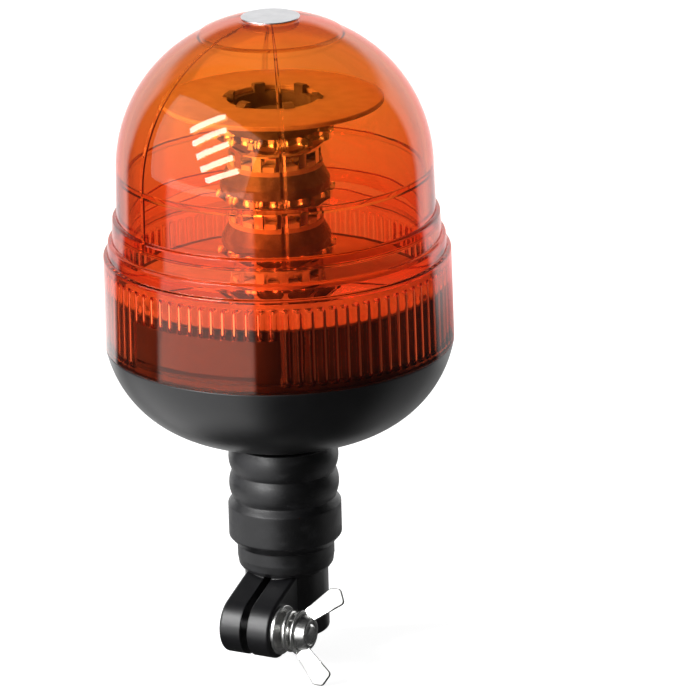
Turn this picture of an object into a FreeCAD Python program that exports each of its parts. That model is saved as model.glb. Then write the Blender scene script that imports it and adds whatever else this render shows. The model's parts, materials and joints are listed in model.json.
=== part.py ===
import FreeCAD, Part
import math
import os

# A flashing warning light: an amber dome over an LED tower, on a black bowl, a ribbed rubber stalk
# and a clamp socket that slides over a lamp pole. Millimetres. The origin is the centre of the
# socket's mouth. The pole enters from below, the clamp's ears point along -Y, its bolt along +X.

# Clearances between neighbouring pieces
push_clearance = 0.1
soft_clearance = 0.2
thread_clearance = 0.05
hole_clearance = 0.25

# How far a cutting shape reaches past the piece it cuts
overcut = 1.0

# Pole socket
pole_diameter = 25.0
socket_wall = 3.0
socket_depth = 36.0
shoulder_width = 2.5
chamber_height = 7.0
end_wall = 4.0
mouth_round = 1.0
grip_rib_height = 1.0
grip_rib_length = 3.0
grip_rib_drop = 5.0

# Clamp ears, bolt and wing nut
bolt_reach = 9.5
lug_radius = 10.8
lug_drop = 2.0
ears_width = 20.6
ear_slope = 20.0
ear_round = 1.2
slit_width = 3.0
slit_over_ear = 2.0
bolt_diameter = 8.0
bolt_tip = 0.5
bolt_head_flats = 13.0
bolt_head_height = 5.3
bolt_head_pocket = 4.5
clamp_washer_diameter = 18.5
clamp_washer_thickness = 1.4
clamp_spring_diameter = 15.5
clamp_spring_wire = 2.1
clamp_spring_length = 6.2
clamp_spring_turns = 1.5
nut_washer_diameter = 16.5
nut_washer_thickness = 0.8
hub_base_radius = 6.6
hub_tip_radius = 5.7
hub_length = 4.0
wing_thickness = 1.3
wing_turn = 27.4
wing_root_height = 8.8
wing_reach = 18.1
wing_overhang = 11.0
wing_tip_drop = 5.0
wing_tip_lean = 2.6
wing_tip_length = 6.4
wing_corner = 1.6

# Pole contacts and leads
contact_travel = 2.0
carrier_flange = 2.5
carrier_radius = 5.9
carrier_standoff = 4.0
pin_head_radius = 3.5
pin_head_height = 6.2
pin_shaft_radius = 1.2
pin_recess = 0.3
contact_spring_wire = 0.8
contact_spring_room = 5.5
contact_spring_turns = 4.0
tag_radius = 3.4
tag_thickness = 0.6
earth_ring_width = 1.3
earth_ring_inset = 0.35
earth_ring_thickness = 0.8
earth_post_radius = 0.7
earth_post_rise = 1.5
lead_radius = 0.9
lead_spread = 2.4
lead_bend = 5.0

# Rubber boot and the stem inside its top
boot_overlap = 22.2
boot_neck_wall = 2.5
boot_sleeve_wall = 5.5
boot_sleeve_length = 12.4
boot_sleeve_over_tube = 2.8
boot_chamfer_height = 3.4
boot_neck_round = 4.5
boot_ring_wall = 4.9
boot_groove_wall = 3.6
boot_rings = 2
boot_first_groove = 2.55
boot_last_groove = 0.85
boot_flex_wall = 6.5
boot_lip = 6.9
flex_length = 17.0
stem_flange_radius = 14.5
stem_flange_thickness = 3.0
stem_radius = 8.0
stem_bore = 5.0
stem_above_nut = 1.5
stem_washer_radius = 14.0
stem_washer_thickness = 1.5
stem_nut_flats = 24.0
stem_nut_height = 6.5

# Base bowl
dome_diameter = 128.0
bowl_depth = 38.7
bowl_wall = 3.0
bowl_corner_share = 1.085
bowl_corner_rise_share = 0.194
bowl_foot_margin = 4.5
collar_gap = 5.5
collar_wall = 4.5
deck_ledge = 2.0
deck_rise = 22.0
deck_thickness = 2.5
deck_boss_radius = 4.5
deck_screws_count = 3
seal_width = 2.0
seal_height = 2.5

# Driver board in the bowl
board_rise = 15.0
board_gap = 6.1
board_thickness = 1.6
board_post_inset = 6.0
board_post_radius = 3.6
board_screws_count = 3
small_screw_radius = 1.5
small_screw_grip = 7.0
small_screw_head_radius = 2.7
small_screw_head_height = 1.7
coil_radius = 6.5
coil_height = 8.0
capacitor_radius = 4.0
capacitor_height = 11.0
chip_side = 9.0
chip_height = 2.0
component_circle = 22.0
capacitor_spread = 40.0

# Dome: a drafted skirt, two narrow terraces and a body, under a round crown with a raised pad.
# The crown's arc turns about a point off the axis, so that its shoulders are fuller than a sphere's.
dome_wall = 3.0
dome_draft = 0.45
dome_step = 1.45
dome_shoulder = 0.6
skirt_height = 35.0
terrace_heights = (5.3, 8.8)
body_height = 17.0
crown_offset = 2.3
belt_thickening = 0.6
belt_height = 21.5
skirt_roof_drop = 2.0
skirt_roof_height = 4.5
skirt_roof_wall = 4.0
pad_radius = 27.6
pad_height = 1.0
foil_radius = 10.7
foil_thickness = 0.5
flute_count = 90
flute_width = 2.6
flute_depth = 1.2
flute_foot = 2.0
flute_top = 31.0
window_direction = -90.0
window_half_angle = 27.5
window_height = 19.5

# LED tower
core_radius = 9.0
core_bore = 6.0
core_foot_radius = 17.0
core_foot = 1.4
tower_screw_circle = 14.0
tower_screws_count = 3
tier_names = ("lower", "middle", "upper")
tier_pitch = 21.8
led_board_thickness = 1.6
led_board_radius = 17.4
leds_per_tier = 12
led_first_angle = -70.0
led_side = 4.2
led_height = 1.8
led_circle = 14.8
led_window_width = 5.4
led_window_height = 5.2
reflector_height = 12.0
reflector_waist = 16.8
reflector_waist_height = 5.6
reflector_flange = 21.8
reflector_rim = 2.4
scoop_radius = 5.0
scoop_inset = 1.8
scoop_drop = 1.0
spacer_radius = 20.0
spacer_band = 3.3
link_pin_radius = 0.5
link_pin_circle = 10.7
link_pin_angles = (-55.0, 125.0)
link_pin_overhang = 3.0

# Disc on the tower and its clips
disc_radius = 40.0
disc_thickness = 1.8
disc_hole = 16.6
clip_foot = 2.4
clip_wall = 2.3
clip_seat_width = 4.5
clip_seat_thickness = 2.0
hook_count = 6
hook_first_angle = -43.0
hook_width = 4.0
hook_barb = 1.8
hook_height = 1.4
cap_radius = 7.2
cap_head = 4.0
cap_stem = 6.0

# Heights and radii that follow from the driving dimensions
pole_radius = pole_diameter / 2
tube_radius = pole_radius + socket_wall
chamber_radius = pole_radius - shoulder_width
chamber_top = socket_depth + chamber_height
tube_top = chamber_top + end_wall

bolt_y = -(tube_radius + bolt_reach)
bolt_z = lug_radius - lug_drop
bolt_radius = bolt_diameter / 2
ear_face = ears_width / 2
lug_top_y = bolt_y - lug_radius * math.sin(math.radians(ear_slope))
lug_top_z = bolt_z + lug_radius * math.cos(math.radians(ear_slope))
ear_root_z = lug_top_z - (tube_radius + lug_top_y) * math.tan(math.radians(ear_slope))
spring_start = ear_face + clamp_washer_thickness
nut_washer_start = spring_start + clamp_spring_length
nut_start = nut_washer_start + nut_washer_thickness

carrier_bottom = chamber_top - carrier_flange
carrier_top = tube_top + carrier_standoff
pin_tip = socket_depth + pin_recess
pin_shoulder = pin_tip + pin_head_height
spring_roof = pin_shoulder + contact_spring_room
tag_bottom = carrier_top + push_clearance
tag_top = tag_bottom + tag_thickness
earth_ring_radius = pole_radius - earth_ring_inset - earth_ring_width / 2
earth_post_top = tube_top + earth_post_rise

boot_bottom = tube_top - boot_overlap
flange_bottom = tube_top + flex_length
lip_bottom = flange_bottom + stem_flange_thickness
bowl_bottom = lip_bottom + boot_lip
bowl_floor = bowl_bottom + bowl_wall
stem_nut_bottom = bowl_floor + stem_washer_thickness
stem_top = stem_nut_bottom + stem_nut_height + stem_above_nut

rim_z = bowl_bottom + bowl_depth
rim_radius = dome_diameter / 2
bowl_corner = bowl_corner_share * bowl_depth
bowl_corner_rise = bowl_corner_rise_share * bowl_depth
bowl_foot = stem_washer_radius + bowl_foot_margin
corner_centre = (rim_radius - math.sqrt(bowl_corner ** 2 - bowl_corner_rise ** 2), rim_z + bowl_corner_rise)
foot_distance = math.dist(corner_centre, (bowl_foot, bowl_bottom))
foot_direction = math.atan2(bowl_bottom - corner_centre[1], bowl_foot - corner_centre[0])
cone_normal = math.degrees(foot_direction + math.acos(bowl_corner / foot_distance))
collar_radius = rim_radius - collar_gap
collar_bore = collar_radius - collar_wall
deck_top = rim_z + deck_rise
deck_bottom = deck_top - deck_thickness
deck_radius = collar_bore + deck_ledge - push_clearance
deck_screw_circle = collar_bore - deck_boss_radius / 2
board_bottom = bowl_bottom + board_rise
board_top = board_bottom + board_thickness
bowl_room = math.sqrt((bowl_corner - bowl_wall) ** 2 - (corner_centre[1] - board_bottom) ** 2)
board_radius = corner_centre[0] + bowl_room - board_gap
board_post_circle = board_radius - board_post_inset

crown_z = rim_z + skirt_height + sum(terrace_heights) + body_height
step_count = len(terrace_heights) + 1
crown_radius = rim_radius - (step_count + 1) * dome_draft - step_count * dome_step
belt_bottom = crown_z - belt_height
crown_centre = (crown_offset, crown_z)
crown_arc = crown_radius - crown_offset
pad_arc = crown_arc + pad_height
foil_bottom = crown_z + math.sqrt(pad_arc ** 2 - (foil_radius - crown_offset) ** 2)

led_levels = [deck_top + core_foot + led_board_thickness + tier_pitch * tier
              for tier in range(len(tier_names))]
disc_bottom = led_levels[0] + tier_pitch * len(tier_names)
disc_top = disc_bottom + disc_thickness
stack_top = led_levels[-1] + reflector_height
core_top = stack_top + clip_foot + 2 * push_clearance
cap_top = core_top + cap_head

origin = FreeCAD.Vector(0, 0, 0)
up = FreeCAD.Vector(0, 0, 1)
along_bolt = FreeCAD.Vector(1, 0, 0)
across = FreeCAD.Vector(0, 1, 0)


def half_plane(r, z):
    return FreeCAD.Vector(r, 0, z)


def on_circle(centre, radius, degrees):
    angle = math.radians(degrees)
    return (centre[0] + radius * math.cos(angle), centre[1] + radius * math.sin(angle))


def outline(*steps, place=half_plane):
    """A closed face. A step (u, v) ends a straight edge, and a step ((u, v), (u, v)) ends an arc
    that passes through the first of its two points."""
    edges = []
    here = steps[0]
    for step in steps[1:] + steps[:1]:
        if isinstance(step[0], tuple):
            through, end = step
            edges.append(Part.Arc(place(*here), place(*through), place(*end)).toShape())
        else:
            end = step
            edges.append(Part.LineSegment(place(*here), place(*end)).toShape())
        here = end
    return Part.Face(Part.Wire(edges))


def turned(*steps):
    return outline(*steps).revolve(origin, up, 360)


def ring(inner, outer, bottom, top):
    return turned((inner, bottom), (outer, bottom), (outer, top), (inner, top))


def rod(radius, x, y, bottom, top):
    return Part.makeCylinder(radius, top - bottom, FreeCAD.Vector(x, y, bottom), up)


def bolt_rod(radius, start, end):
    return Part.makeCylinder(radius, end - start, FreeCAD.Vector(start, bolt_y, bolt_z), along_bolt)


def block(width, depth, height, centre_x, centre_y, bottom):
    corner = FreeCAD.Vector(centre_x - width / 2, centre_y - depth / 2, bottom)
    return Part.makeBox(width, depth, height, corner)


def hexagon(flats, height, base, axis):
    """A hexagonal prism that stands on base along axis."""
    corner = flats / math.sqrt(3)
    points = [on_circle((0, 0), corner, 60 * side) for side in range(7)]
    face = Part.Face(Part.makePolygon([FreeCAD.Vector(u, v, 0) for u, v in points]))
    prism = face.extrude(up * height)
    prism.Placement = FreeCAD.Placement(base, FreeCAD.Rotation(up, axis))
    return prism


def copies(shape, angles):
    """The shape turned about the upright axis to each angle."""
    placed = []
    for angle in angles:
        turned_copy = shape.copy()
        turned_copy.rotate(origin, up, angle)
        placed.append(turned_copy)
    return placed


def even_angles(count, first=0.0):
    return [first + 360 / count * step for step in range(count)]


def coil_spring(mean_radius, wire_radius, length, turns):
    """A compression spring that stands on the origin, along Z."""
    rise = length - 2 * wire_radius
    pitch = rise / turns
    start = FreeCAD.Vector(mean_radius, 0, 0)
    heading = FreeCAD.Vector(0, 2 * math.pi * mean_radius, pitch)
    section = Part.Wire(Part.makeCircle(wire_radius, start, heading))
    path = Part.Wire(Part.makeHelix(pitch, rise, mean_radius))
    spring = path.makePipeShell([section], True, True)
    spring.translate(up * wire_radius)
    return spring


def screw(grip):
    """A small screw whose head sits on the origin and whose shank goes down."""
    shank = Part.makeCylinder(small_screw_radius, grip, FreeCAD.Vector(0, 0, -grip), up)
    head = Part.makeCylinder(small_screw_head_radius, small_screw_head_height, origin, up)
    return shank.fuse(head).removeSplitter()


def screws_on(circle, seat, count, grip, downwards=True):
    one = screw(grip)
    if not downwards:
        one.rotate(origin, along_bolt, 180)
    one.translate(FreeCAD.Vector(circle, 0, seat))
    return Part.makeCompound(copies(one, even_angles(count)))


def screw_holes(circle, bottom, top, count, radius):
    return copies(rod(radius, circle, 0, bottom, top), even_angles(count))


def link_pin_holes(bottom, top):
    drill = rod(link_pin_radius + push_clearance, link_pin_circle, 0, bottom, top)
    return copies(drill, link_pin_angles)


def clamp_ears():
    """Both ears as one block from the lug to the socket's axis, with rounded side edges."""
    axis_z = ear_root_z + tube_radius * math.tan(math.radians(ear_slope))
    face = outline(
        (0, 0),
        (-tube_radius, 0),
        (bolt_y, -lug_drop),
        ((bolt_y - lug_radius, bolt_z), (lug_top_y, lug_top_z)),
        (0, axis_z),
        place=lambda y, z: FreeCAD.Vector(-ear_face, y, z),
    )
    ears = face.extrude(along_bolt * ears_width)
    side_edges = [
        edge for edge in ears.Edges
        if all(abs(abs(vertex.X) - ear_face) < 1e-6 for vertex in edge.Vertexes)
        and abs(edge.Vertexes[0].X - edge.Vertexes[-1].X) < 1e-6
    ]
    return ears.makeFillet(ear_round, side_edges)


def socket_hollow():
    """Room for the pole, the earth ring's recess, the contact chamber and the carrier's hole."""
    above = tube_top + overcut
    hole = carrier_radius + push_clearance
    room = turned(
        (0, -overcut),
        (pole_radius, -overcut),
        (pole_radius, socket_depth),
        (chamber_radius, socket_depth),
        (chamber_radius, chamber_top),
        (hole, chamber_top),
        (hole, above),
        (0, above),
    )
    half_width = earth_ring_width / 2 + push_clearance
    recess = ring(
        earth_ring_radius - half_width,
        earth_ring_radius + half_width,
        socket_depth - overcut,
        socket_depth + earth_ring_thickness + push_clearance,
    )
    post = rod(earth_post_radius + push_clearance, 0, earth_ring_radius, socket_depth, above)
    return room.fuse([recess, post])


def clamp_socket():
    rib_top = tube_top - grip_rib_drop
    rib_bottom = rib_top - grip_rib_length
    rib_radius = tube_radius + grip_rib_height
    corner = on_circle((tube_radius - mouth_round, mouth_round), mouth_round, -45)
    tube = turned(
        (0, 0),
        (tube_radius - mouth_round, 0),
        (corner, (tube_radius, mouth_round)),
        (tube_radius, rib_bottom),
        (rib_radius, rib_bottom),
        (rib_radius, rib_top - grip_rib_height),
        (tube_radius, rib_top),
        (tube_radius, tube_top),
        (0, tube_top),
    )
    slit_depth = lug_radius - bolt_y + overcut
    slit_bottom = -lug_drop - overcut
    slit_height = ear_root_z + slit_over_ear - slit_bottom
    slit = block(slit_width, slit_depth, slit_height, 0, -slit_depth / 2, slit_bottom)
    bolt_hole = bolt_rod(bolt_radius + hole_clearance, -ear_face, ear_face)
    pocket_mouth = FreeCAD.Vector(-ear_face - overcut, bolt_y, bolt_z)
    pocket_depth = bolt_head_pocket + overcut
    pocket = hexagon(bolt_head_flats + 2 * hole_clearance, pocket_depth, pocket_mouth, along_bolt)
    return tube.fuse(clamp_ears()).cut([socket_hollow(), slit, bolt_hole, pocket]).removeSplitter()


def clamp_bolt():
    head_end = -ear_face + bolt_head_pocket
    head_start = FreeCAD.Vector(head_end - bolt_head_height, bolt_y, bolt_z)
    head = hexagon(bolt_head_flats, bolt_head_height, head_start, along_bolt)
    shank = bolt_rod(bolt_radius, head_end, nut_start + hub_length + bolt_tip)
    return head.fuse(shank).removeSplitter()


def bolt_washer(diameter, thickness, start):
    hole = bolt_rod(bolt_radius + thread_clearance, start, start + thickness)
    return bolt_rod(diameter / 2, start, start + thickness).cut(hole)


def clamp_spring():
    wire_radius = clamp_spring_wire / 2
    mean_radius = clamp_spring_diameter / 2 - wire_radius
    length = clamp_spring_length - 2 * push_clearance
    spring = coil_spring(mean_radius, wire_radius, length, clamp_spring_turns)
    start = FreeCAD.Vector(spring_start + push_clearance, bolt_y, bolt_z)
    spring.Placement = FreeCAD.Placement(start, FreeCAD.Rotation(up, along_bolt)).multiply(spring.Placement)
    return spring


def wing():
    """One wing in the XZ plane, its root on the hub's base and its tip splayed off the end."""
    tip_x = hub_length + wing_overhang
    tip_z = wing_reach - wing_tip_drop
    inside_hub = (hub_tip_radius + bolt_radius) / 2
    face = outline(
        (0, inside_hub),
        (hub_length, inside_hub),
        (tip_x, tip_z),
        (tip_x - wing_tip_lean, wing_reach),
        (tip_x - wing_tip_length, wing_reach),
        (0, wing_root_height),
        place=lambda x, z: FreeCAD.Vector(x, -wing_thickness / 2, z),
    )
    plate = face.extrude(across * wing_thickness)
    tip_edges = [
        edge for edge in plate.Edges
        if abs(edge.Vertexes[0].Y - edge.Vertexes[-1].Y) > wing_thickness / 2
        and edge.Vertexes[0].Z >= tip_z
    ]
    return plate.makeFillet(wing_corner, tip_edges)


def wing_nut():
    hub = Part.makeCone(hub_base_radius, hub_tip_radius, hub_length, origin, along_bolt)
    upper = wing()
    lower = wing()
    lower.rotate(origin, along_bolt, 180)
    nut = hub.fuse([upper, lower])
    thread = Part.makeCylinder(bolt_radius + thread_clearance, hub_length * 2, origin, along_bolt)
    nut = nut.cut(thread).removeSplitter()
    nut.rotate(origin, along_bolt, -wing_turn)
    nut.translate(FreeCAD.Vector(nut_start, bolt_y, bolt_z))
    return nut


def contact_carrier():
    return turned(
        (pin_head_radius + push_clearance, carrier_bottom),
        (chamber_radius - push_clearance, carrier_bottom),
        (chamber_radius - push_clearance, chamber_top),
        (carrier_radius, chamber_top),
        (carrier_radius, carrier_top),
        (pin_shaft_radius + push_clearance, carrier_top),
        (pin_shaft_radius + push_clearance, spring_roof),
        (pin_head_radius + push_clearance, spring_roof),
    )


def contact_pin():
    tip = on_circle((0, pin_tip + pin_head_radius), pin_head_radius, -60)
    head_side = (pin_head_radius, pin_tip + pin_head_radius)
    return turned(
        (0, pin_tip),
        (tip, head_side),
        (pin_head_radius, pin_shoulder),
        (pin_shaft_radius, pin_shoulder),
        (pin_shaft_radius, tag_top),
        (0, tag_top),
    )


def contact_spring():
    wire_radius = contact_spring_wire / 2
    mean_radius = (pin_head_radius + pin_shaft_radius) / 2
    spring = coil_spring(
        mean_radius, wire_radius, contact_spring_room - 2 * push_clearance, contact_spring_turns)
    spring.translate(up * (pin_shoulder + push_clearance))
    return spring


def contact_tag():
    return ring(pin_shaft_radius, tag_radius, tag_bottom, tag_top)


def earth_ring():
    half_width = earth_ring_width / 2
    contact = ring(
        earth_ring_radius - half_width,
        earth_ring_radius + half_width,
        socket_depth,
        socket_depth + earth_ring_thickness,
    )
    post = rod(earth_post_radius, 0, earth_ring_radius, socket_depth, earth_post_top)
    return contact.fuse(post).removeSplitter()


def positive_lead():
    return rod(lead_radius, 0, -lead_spread, tag_top + push_clearance, board_bottom)


def earth_lead():
    """From the earth post straight up, across to the stem's bore and up to the driver board."""
    start = FreeCAD.Vector(0, earth_ring_radius, earth_post_top)
    first = start + up * (flex_length / 3)
    second = FreeCAD.Vector(0, lead_spread, flange_bottom)
    end = FreeCAD.Vector(0, lead_spread, board_bottom)
    slant = math.atan2(first.y - second.y, second.z - first.z)
    trim = lead_bend * math.tan(slant / 2)
    toward = (second - first).normalize()
    path = []
    here = start
    for corner, arrive, leave in ((first, up, toward), (second, toward, up)):
        bend_start = corner - arrive * trim
        bend_end = corner + leave * trim
        inward = (leave - arrive).normalize()
        middle = corner + inward * (lead_bend / math.cos(slant / 2) - lead_bend)
        path.append(Part.LineSegment(here, bend_start).toShape())
        path.append(Part.Arc(bend_start, middle, bend_end).toShape())
        here = bend_end
    path.append(Part.LineSegment(here, end).toShape())
    section = Part.Wire(Part.makeCircle(lead_radius, start, up))
    return Part.Wire(path).makePipeShell([section], True, True)


def boot_ribs():
    """Outline steps of the rounded rings, upwards from the sleeve to the bowl."""
    groove = tube_radius + boot_groove_wall
    first = tube_top + boot_sleeve_over_tube + boot_first_groove
    pitch = (bowl_bottom - boot_last_groove - first) / boot_rings
    steps = [(groove, first)]
    for count in range(boot_rings):
        crest = (tube_radius + boot_ring_wall, first + pitch * (count + 0.5))
        steps.append((crest, (groove, first + pitch * (count + 1))))
    return steps


def rubber_boot():
    top = bowl_bottom - soft_clearance
    sleeve_top = tube_top + boot_sleeve_over_tube
    sleeve_bottom = sleeve_top - boot_sleeve_length
    sleeve = tube_radius + boot_sleeve_wall
    neck = tube_radius + boot_neck_wall
    neck_top = sleeve_bottom - boot_chamfer_height
    bore = tube_radius + soft_clearance
    edge = (neck + 2 * bore) / 3
    round_top = boot_bottom + boot_neck_round
    round_middle = (neck - (neck - edge) / 4, boot_bottom + boot_neck_round / 3)
    flex_bore = tube_radius + boot_groove_wall - boot_flex_wall
    rib_top = tube_top - grip_rib_drop + soft_clearance
    rib_bottom = rib_top - grip_rib_length - 2 * soft_clearance
    rib_bore = bore + grip_rib_height
    return turned(
        (bore, boot_bottom),
        (edge, boot_bottom),
        (round_middle, (neck, round_top)),
        (neck, neck_top),
        (sleeve, sleeve_bottom),
        (sleeve, sleeve_top),
        *boot_ribs(),
        (tube_radius + boot_ring_wall, top),
        (stem_radius + soft_clearance, top),
        (stem_radius + soft_clearance, lip_bottom + soft_clearance),
        (stem_flange_radius + soft_clearance, lip_bottom + soft_clearance),
        (stem_flange_radius + soft_clearance, flange_bottom - soft_clearance),
        (flex_bore, flange_bottom - soft_clearance),
        (flex_bore, tube_top + soft_clearance),
        (bore, tube_top + soft_clearance),
        (bore, rib_top),
        (rib_bore, rib_top - grip_rib_height),
        (rib_bore, rib_bottom),
        (bore, rib_bottom),
    )


def stalk_stem():
    return turned(
        (stem_bore, flange_bottom),
        (stem_flange_radius, flange_bottom),
        (stem_flange_radius, lip_bottom),
        (stem_radius, lip_bottom),
        (stem_radius, stem_top),
        (stem_bore, stem_top),
    )


def stem_washer():
    return ring(stem_radius + push_clearance, stem_washer_radius, bowl_floor, stem_nut_bottom)


def stem_nut():
    base = FreeCAD.Vector(0, 0, stem_nut_bottom)
    prism = hexagon(stem_nut_flats, stem_nut_height, base, up)
    hole = rod(stem_radius + thread_clearance, 0, 0, stem_nut_bottom, stem_nut_bottom + stem_nut_height)
    return prism.cut(hole)


def bowl_side(thickness):
    """Outline steps of the bowl's round side and cone, from the rim down to its flat bottom, as
    they lie a thickness inside its outer surface."""
    radius = bowl_corner - thickness
    rim = -math.degrees(math.asin((bowl_corner_rise + thickness) / radius))
    cone_top = on_circle(corner_centre, radius, cone_normal)
    bottom = bowl_bottom + thickness
    cone_foot = cone_top[0] + (cone_top[1] - bottom) * math.tan(math.radians(cone_normal))
    middle = on_circle(corner_centre, radius, (rim + cone_normal) / 2)
    return [on_circle(corner_centre, radius, rim), (middle, cone_top), (cone_foot, bottom)]


def bowl_posts(filled):
    """Posts under the driver board and bosses under the deck plate's screws."""
    post = rod(board_post_radius, board_post_circle, 0, bowl_bottom, board_bottom)
    posts = [shape.common(filled) for shape in copies(post, even_angles(board_screws_count))]
    boss = rod(deck_boss_radius, deck_screw_circle, 0, rim_z - bowl_wall, deck_bottom)
    return posts + copies(boss, even_angles(deck_screws_count))


def base_bowl():
    filled = turned((0, rim_z), *bowl_side(0), (0, bowl_bottom))
    hole = stem_radius + push_clearance
    shell = turned(
        *bowl_side(0),
        (hole, bowl_bottom),
        (hole, bowl_floor),
        *reversed_steps(bowl_side(bowl_wall)),
        (collar_bore, rim_z - bowl_wall),
        (collar_bore, deck_bottom),
        (deck_radius + push_clearance, deck_bottom),
        (deck_radius + push_clearance, deck_top),
        (collar_radius, deck_top),
        (collar_radius, rim_z),
    )
    thread = small_screw_radius + thread_clearance
    board_threads = screw_holes(
        board_post_circle, board_top - small_screw_grip, board_bottom, board_screws_count, thread)
    deck_threads = screw_holes(
        deck_screw_circle, deck_top - small_screw_grip, deck_bottom, deck_screws_count, thread)
    body = shell.fuse(bowl_posts(filled))
    return body.cut(board_threads + deck_threads).removeSplitter()


def reversed_steps(steps):
    """The same line and arc steps, walked from their end back to their start."""
    ends = [step[1] if isinstance(step[0], tuple) else step for step in steps]
    back = [ends[-1]]
    for index in range(len(steps) - 1, 0, -1):
        step = steps[index]
        back.append((step[0], ends[index - 1]) if isinstance(step[0], tuple) else ends[index - 1])
    return back


def driver_board():
    holes = screw_holes(board_post_circle, board_bottom, board_top, board_screws_count,
                        small_screw_radius + push_clearance)
    return rod(board_radius, 0, 0, board_bottom, board_top).cut(holes)


def driver_components():
    """A choke, two capacitors and a driver chip, standing on the board between its screws."""
    choke = rod(coil_radius, component_circle, 0, board_top, board_top + coil_height)
    capacitor = rod(capacitor_radius, component_circle, 0, board_top, board_top + capacitor_height)
    chip = block(chip_side, chip_side, chip_height, component_circle, 0, board_top)
    gap = 360 / board_screws_count / 2
    pair = [3 * gap - capacitor_spread / 2, 3 * gap + capacitor_spread / 2]
    placed = copies(choke, [gap]) + copies(capacitor, pair) + copies(chip, [5 * gap])
    return Part.makeCompound(placed)


def board_screws():
    return screws_on(board_post_circle, board_top, board_screws_count, small_screw_grip - push_clearance)


def link_pins():
    bottom = deck_bottom - link_pin_overhang
    pin = rod(link_pin_radius, link_pin_circle, 0, bottom, led_levels[-1] + led_board_thickness / 2)
    return Part.makeCompound(copies(pin, link_pin_angles))


def tower_lead():
    wire = rod(lead_radius, link_pin_circle, 0, board_top, deck_bottom - link_pin_overhang)
    return Part.makeCompound(copies(wire, link_pin_angles))


def dome_seal():
    inner = collar_radius + push_clearance
    return ring(inner, inner + seal_width, rim_z, rim_z + seal_height)


def crown_angle(radius, arc):
    """Angle about the crown's centre at which an arc passes a radius from the axis."""
    return math.degrees(math.acos((radius - crown_offset) / arc))


def dome_outside():
    """Outline steps of the dome's outer side, from the rim up to the crown's seat for the foil."""
    steps = [(rim_radius, rim_z)]
    radius = rim_radius
    height = rim_z
    for rise in (skirt_height,) + terrace_heights:
        height += rise
        radius -= dome_draft
        round_centre = (radius - dome_shoulder, height - dome_shoulder)
        steps.append((radius, height - dome_shoulder))
        steps.append((on_circle(round_centre, dome_shoulder, 45), (radius - dome_shoulder, height)))
        radius -= dome_step
        steps.append((radius, height))
    steps.append((crown_radius, crown_z))
    pad_foot = crown_angle(pad_radius, crown_arc)
    pad_edge = crown_angle(pad_radius - pad_height / 2, pad_arc)
    seat = crown_angle(foil_radius, pad_arc)
    steps.append((on_circle(crown_centre, crown_arc, pad_foot / 2),
                  on_circle(crown_centre, crown_arc, pad_foot)))
    steps.append(on_circle(crown_centre, pad_arc, pad_edge))
    steps.append((on_circle(crown_centre, pad_arc, (pad_edge + seat) / 2), (foil_radius, foil_bottom)))
    return steps


def dome_inside():
    """Outline steps of the hollow, from the rim up: the skirt, its sloping roof, the ledge under
    the thicker lens belt and the crown."""
    skirt = rim_radius - dome_wall
    roof = rim_z + skirt_height - skirt_roof_drop
    upper = rim_radius - 2 * dome_draft - dome_step - skirt_roof_wall
    inner_arc = crown_arc - dome_wall
    inner = crown_radius - dome_wall
    belt = inner - belt_thickening
    return [
        (skirt, rim_z),
        (skirt - dome_draft, roof),
        (upper, roof + skirt_roof_height),
        (upper - dome_draft, belt_bottom),
        (belt, belt_bottom),
        (belt, crown_z),
        (inner, crown_z),
        (on_circle(crown_centre, inner_arc, 45), on_circle(crown_centre, inner_arc, 90)),
        (0, crown_z + inner_arc),
    ]


def flute_cutter(first_angle, count, bottom, top):
    """Upright half-round grooves side by side in the skirt's inner face."""
    pitch = 360 / flute_count
    wall = rim_radius - dome_wall - dome_draft - push_clearance
    half = math.degrees(flute_width / 2 / wall)
    back = wall - dome_wall
    centre = (0, 0)
    steps = [on_circle(centre, back, first_angle)]
    for flute in range(count):
        middle = first_angle + pitch * (flute + 0.5)
        steps.append(on_circle(centre, wall, middle - half))
        groove = on_circle(centre, wall + flute_depth, middle)
        steps.append((groove, on_circle(centre, wall, middle + half)))
    last_angle = first_angle + pitch * count
    steps.append(on_circle(centre, back, last_angle))
    for flute in range(count - 1, 0, -1):
        steps.append(on_circle(centre, back, first_angle + pitch * flute))
    face = outline(*steps, place=lambda x, y: FreeCAD.Vector(x, y, bottom))
    return face.extrude(up * (top - bottom))


def dome_lens():
    dome = turned(*dome_outside(), (0, foil_bottom), *reversed_steps(dome_inside()))
    pitch = 360 / flute_count
    short_count = round(2 * window_half_angle / pitch)
    window_start = window_direction - pitch * short_count / 2
    bottom = rim_z + flute_foot
    top = rim_z + flute_top
    short = flute_cutter(window_start, short_count, bottom + window_height - flute_foot, top)
    long = flute_cutter(window_start + pitch * short_count, flute_count - short_count, bottom, top)
    return dome.cut([short, long])


def top_foil():
    return rod(foil_radius, 0, 0, foil_bottom, foil_bottom + foil_thickness)


def deck_plate():
    plate = rod(deck_radius, 0, 0, deck_bottom, deck_top)
    deck_holes = screw_holes(deck_screw_circle, deck_bottom, deck_top, deck_screws_count,
                             small_screw_radius + push_clearance)
    tower_holes = screw_holes(tower_screw_circle, deck_bottom, deck_top, tower_screws_count,
                              small_screw_radius + push_clearance)
    return plate.cut(deck_holes + tower_holes + link_pin_holes(deck_bottom, deck_top))


def deck_screws():
    return screws_on(deck_screw_circle, deck_top, deck_screws_count, small_screw_grip - push_clearance)


def tower_core():
    """Tube that carries the stack, with a foot that the tower's screws pull onto the deck."""
    foot_top = deck_top + core_foot
    core = turned(
        (core_bore, deck_top),
        (core_foot_radius, deck_top),
        (core_foot_radius, foot_top),
        (core_radius, foot_top),
        (core_radius, core_top),
        (core_bore, core_top),
    )
    threads = screw_holes(tower_screw_circle, deck_top, foot_top, tower_screws_count,
                          small_screw_radius + thread_clearance)
    return core.cut(threads + link_pin_holes(deck_top, foot_top))


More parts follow.
